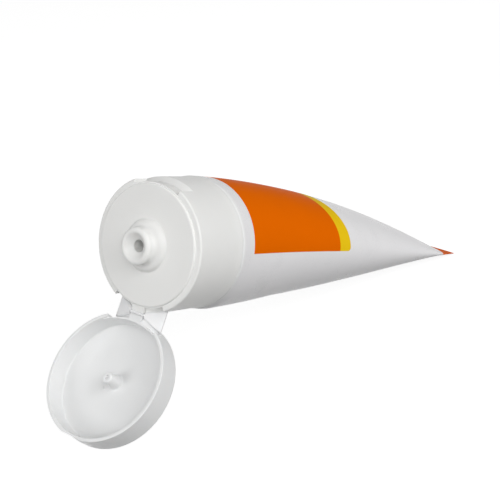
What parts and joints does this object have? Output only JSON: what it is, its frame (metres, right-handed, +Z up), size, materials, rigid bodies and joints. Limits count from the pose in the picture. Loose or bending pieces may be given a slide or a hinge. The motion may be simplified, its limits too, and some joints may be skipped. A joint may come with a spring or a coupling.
{
  "type": "sunscreen tube",
  "caption": "Squeeze tube with a crimped end and an open flip-top cap on a butterfly hinge, lying on its lid and crimp.",
  "frame": {"origin": "on the surface that the tube lies on, under the middle of its bounding box", "axes": "+Z up, +X along the tube towards the nozzle's end, +Y to the side, parallel to the crimp"},
  "size_m": [0.2182, 0.0788, 0.086],
  "materials": {
    "sleeve": "satin white polyethylene sleeve",
    "shoulder": "moulded white polyethylene",
    "cap": "satin white polypropylene",
    "lid": "satin white polypropylene",
    "hinge_film": "thin white polypropylene, whitened by folding",
    "orange_print": "glossy orange print",
    "yellow_print": "glossy yellow print",
    "crimp_print": "glossy orange print over the weld"
  },
  "bodies": {
    "tube": {"sleeve": "sleeve", "shoulder": "shoulder", "cap_base": "cap", "hinge_strap": "hinge_film", "orange_field": "orange_print", "yellow_strip": "yellow_print", "crimp_band": "crimp_print"},
    "lid": {"flip_lid": "lid"},
    "left_wing": {"wing_left": "hinge_film"},
    "right_wing": {"wing_right": "hinge_film"}
  },
  "joints": [
    {"name": "lid_hinge", "type": "hinge", "parent": "tube", "child": "lid", "pos_m": [0.07129, 0, 0.03997], "axis": [0, -1, 0], "range_deg": [0, 150], "deforming": ["hinge_strap"]},
    {"name": "left_wing_fold", "type": "hinge", "parent": "tube", "child": "left_wing", "pos_m": [0.06968, -0.0034, 0.04051], "axis": [-0.4549, -0.8774, 0.1523], "range_deg": [0, 82.4]},
    {"name": "right_wing_fold", "type": "hinge", "parent": "tube", "child": "right_wing", "pos_m": [0.06968, 0.0034, 0.04051], "axis": [0.4549, -0.8774, -0.1523], "range_deg": [0, 82.4]}
  ],
  "couplings": [
    {"joint": "left_wing_fold", "follows": "lid_hinge", "ratio": 0.54894},
    {"joint": "right_wing_fold", "follows": "lid_hinge", "ratio": 0.54894}
  ]
}
